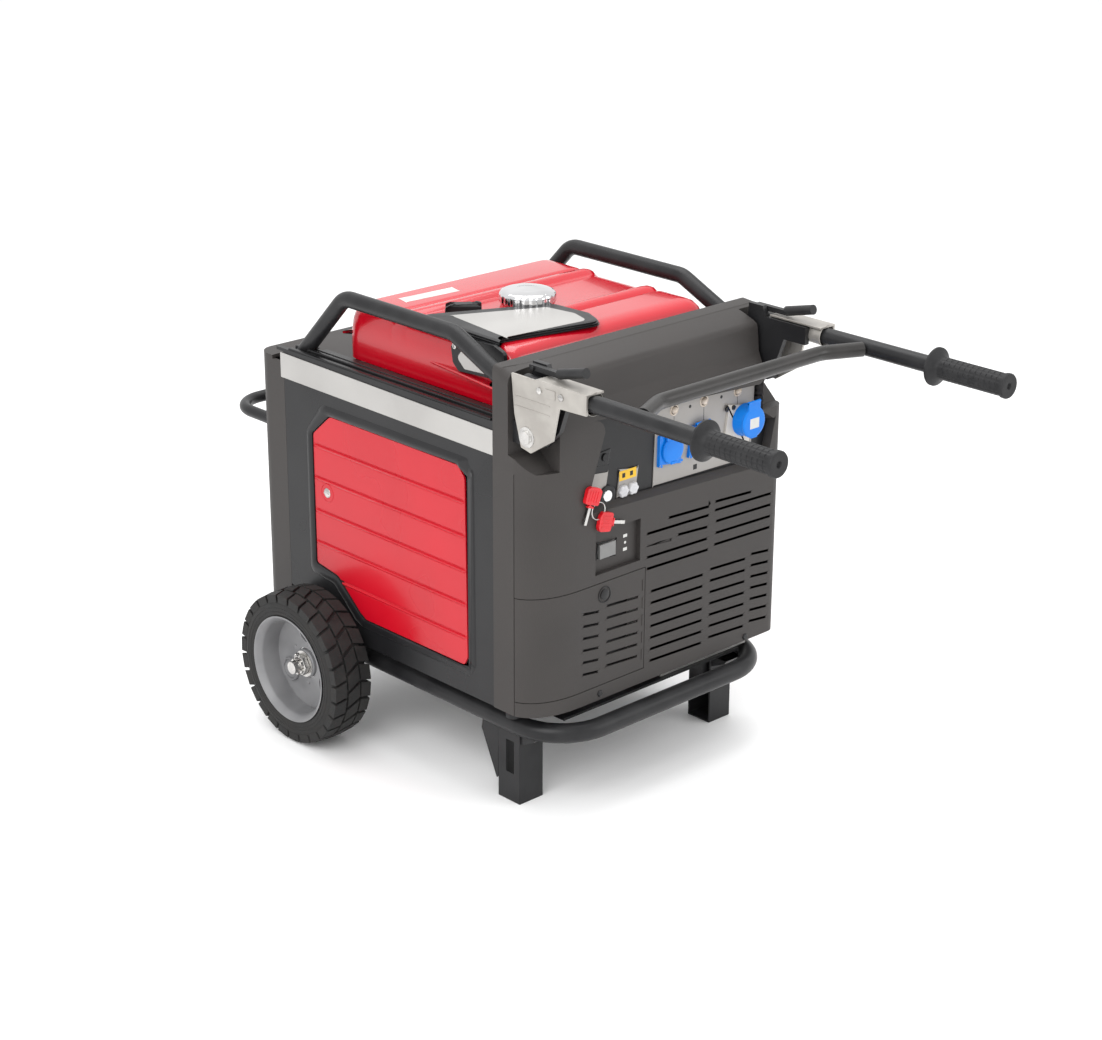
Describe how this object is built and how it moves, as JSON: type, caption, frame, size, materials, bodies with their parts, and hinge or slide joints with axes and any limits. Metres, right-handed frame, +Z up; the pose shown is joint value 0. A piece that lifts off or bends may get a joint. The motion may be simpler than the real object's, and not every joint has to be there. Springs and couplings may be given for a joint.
{
  "type": "inverter generator",
  "caption": "Wheeled open-frame inverter generator with enclosed covers, top fuel tank, recessed control panel, roll hoops and folding lift handles.",
  "frame": {"origin": "on the ground under the middle of the machine's overall length and width", "axes": "+X across to the right of a person facing the control panel, -Y towards the panel and the lift handles, +Y towards the exhaust end, +Z up"},
  "size_m": [0.7, 1.198, 0.721],
  "materials": {
    "frame_black": "satin",
    "shell_grey": "matt",
    "cover_black": "satin",
    "red_paint": "gloss",
    "strip_silver": "satin",
    "tyre_rubber": "matt",
    "rim_grey": "satin",
    "steel": "satin",
    "bracket_alu": "brushed",
    "lever_black": "satin",
    "grip_rubber": "matt",
    "cap_chrome": "polished",
    "panel_black": "matt",
    "outlet_grey": "matt",
    "outlet_beige": "matt",
    "lid_blue": "satin",
    "button_clear": "gloss",
    "key_red": "satin",
    "engine_alu": "cast",
    "iron": "cast",
    "copper_core": "varnished",
    "inner_plastic": "matt",
    "battery_case": "matt"
  },
  "bodies": {
    "machine": {"bottom_frame": "frame_black", "roll_hoops": "frame_black", "rear_bar": "frame_black", "front_legs": "frame_black", "wheel_bushes": "steel", "stub_axles": "steel", "hub_nuts": "steel", "front_shell": "shell_grey", "battery_cover": "shell_grey", "side_covers": "cover_black", "right_panel": "red_paint", "side_strips": "strip_silver", "rear_cover": "cover_black", "fuel_tank": "red_paint", "fuel_gauge": "panel_black", "gauge_cover": "lever_black", "control_plate": "panel_black", "outlets": "lid_blue", "large_outlet": "outlet_beige", "parallel_sockets": "outlet_grey", "key_lock": "panel_black", "keys": "key_red", "pivot_bolts": "steel", "rubber_mounts": "grip_rubber", "crankcase": "engine_alu", "cylinder": "engine_alu", "cylinder_head": "engine_alu", "carburettor": "engine_alu", "alternator_stator": "copper_core", "fan_shroud": "inner_plastic", "battery": "battery_case", "inverter_unit": "engine_alu", "air_cleaner": "inner_plastic", "silencer": "steel", "fuel_pump": "inner_plastic"},
    "handle": {"handle_tubes": "frame_black", "handle_brackets": "bracket_alu", "inner_plates": "frame_black", "handle_grips": "grip_rubber"},
    "right_lever": {"right_lock_lever": "lever_black"},
    "left_lever": {"left_lock_lever": "lever_black"},
    "right_wheel": {"right_tyre": "tyre_rubber", "right_rim": "rim_grey"},
    "left_wheel": {"left_tyre": "tyre_rubber", "left_rim": "rim_grey"},
    "cap": {"fuel_cap": "cap_chrome"},
    "door": {"left_door": "red_paint"},
    "door_latch": {"left_door_latch": "steel"},
    "lid_1": {"outlet_lid_1": "lid_blue"},
    "lid_2": {"outlet_lid_2": "lid_blue"},
    "lid_large": {"large_outlet_lid": "lid_blue"},
    "breaker_1": {"breaker_button_1": "button_clear"},
    "breaker_2": {"breaker_button_2": "button_clear"},
    "breaker_3": {"breaker_button_3": "button_clear"},
    "mode_button": {"display_button": "outlet_grey"},
    "lock_barrel": {"key_barrel": "steel"},
    "rocker": {"eco_rocker": "outlet_grey"},
    "crank": {"crankshaft": "steel", "alternator_rotor": "iron", "cooling_fan": "inner_plastic"}
  },
  "joints": [
    {"name": "handle_fold", "type": "hinge", "parent": "machine", "child": "handle", "pos_m": [0, -0.1487, 0.6], "axis": [1, 0, 0], "range_deg": [0, 90]},
    {"name": "right_lever_lift", "type": "hinge", "parent": "handle", "child": "right_lever", "pos_m": [0.2334, -0.1407, 0.6948], "axis": [-1, 0, 0], "range_deg": [0, 18], "stiffness_Nm_per_rad": 1.5, "springref_deg": -17.19},
    {"name": "left_lever_lift", "type": "hinge", "parent": "handle", "child": "left_lever", "pos_m": [-0.2334, -0.1407, 0.6948], "axis": [-1, 0, 0], "range_deg": [0, 18], "stiffness_Nm_per_rad": 1.5, "springref_deg": -17.19},
    {"name": "right_wheel_roll", "type": "hinge", "parent": "machine", "child": "right_wheel", "pos_m": [0.3135, 0.3033, 0.1238], "axis": [1, 0, 0], "continuous": true},
    {"name": "left_wheel_roll", "type": "hinge", "parent": "machine", "child": "left_wheel", "pos_m": [-0.3135, 0.3033, 0.1238], "axis": [1, 0, 0], "continuous": true},
    {"name": "fuel_cap_turn", "type": "hinge", "parent": "machine", "child": "cap", "pos_m": [-0.021, 0.1053, 0.7], "axis": [0, 0, 1], "continuous": true},
    {"name": "service_door", "type": "hinge", "parent": "machine", "child": "door", "pos_m": [-0.2575, -0.0212, 0.366], "axis": [0, 0, 1], "range_deg": [0, 90]},
    {"name": "door_latch_turn", "type": "hinge", "parent": "door", "child": "door_latch", "pos_m": [-0.2575, 0.3023, 0.396], "axis": [1, 0, 0], "range_deg": [0, 90]},
    {"name": "outlet_lid_1_open", "type": "hinge", "parent": "machine", "child": "lid_1", "pos_m": [0.0215, -0.1656, 0.549], "axis": [-1, 0, 0], "range_deg": [0, 100], "stiffness_Nm_per_rad": 0.03, "springref_deg": -17.19},
    {"name": "outlet_lid_2_open", "type": "hinge", "parent": "machine", "child": "lid_2", "pos_m": [0.0845, -0.1656, 0.549], "axis": [-1, 0, 0], "range_deg": [0, 100], "stiffness_Nm_per_rad": 0.03, "springref_deg": -17.19},
    {"name": "large_lid_open", "type": "hinge", "parent": "machine", "child": "lid_large", "pos_m": [0.18, -0.1807, 0.563], "axis": [-1, 0, 0], "range_deg": [0, 100], "stiffness_Nm_per_rad": 0.05, "springref_deg": -17.19},
    {"name": "breaker_1_push", "type": "slide", "parent": "machine", "child": "breaker_1", "axis": [0, 1, 0], "range_m": [0, 0.003]},
    {"name": "breaker_2_push", "type": "slide", "parent": "machine", "child": "breaker_2", "axis": [0, 1, 0], "range_m": [0, 0.003]},
    {"name": "breaker_3_push", "type": "slide", "parent": "machine", "child": "breaker_3", "axis": [0, 1, 0], "range_m": [0, 0.003]},
    {"name": "mode_button_push", "type": "slide", "parent": "machine", "child": "mode_button", "axis": [0, 1, 0], "range_m": [0, 0.0015], "stiffness_N_per_m": 400, "springref_m": -0.002},
    {"name": "key_turn", "type": "hinge", "parent": "machine", "child": "lock_barrel", "pos_m": [-0.107, -0.1557, 0.478], "axis": [0, 1, 0], "range_deg": [0, 90]},
    {"name": "eco_rocker_tilt", "type": "hinge", "parent": "machine", "child": "rocker", "pos_m": [-0.114, -0.1612, 0.3985], "axis": [1, 0, 0], "range_deg": [0, 12]},
    {"name": "crank_turn", "type": "hinge", "parent": "machine", "child": "crank", "pos_m": [0, 0, 0.335], "axis": [0, 1, 0], "continuous": true}
  ]
}
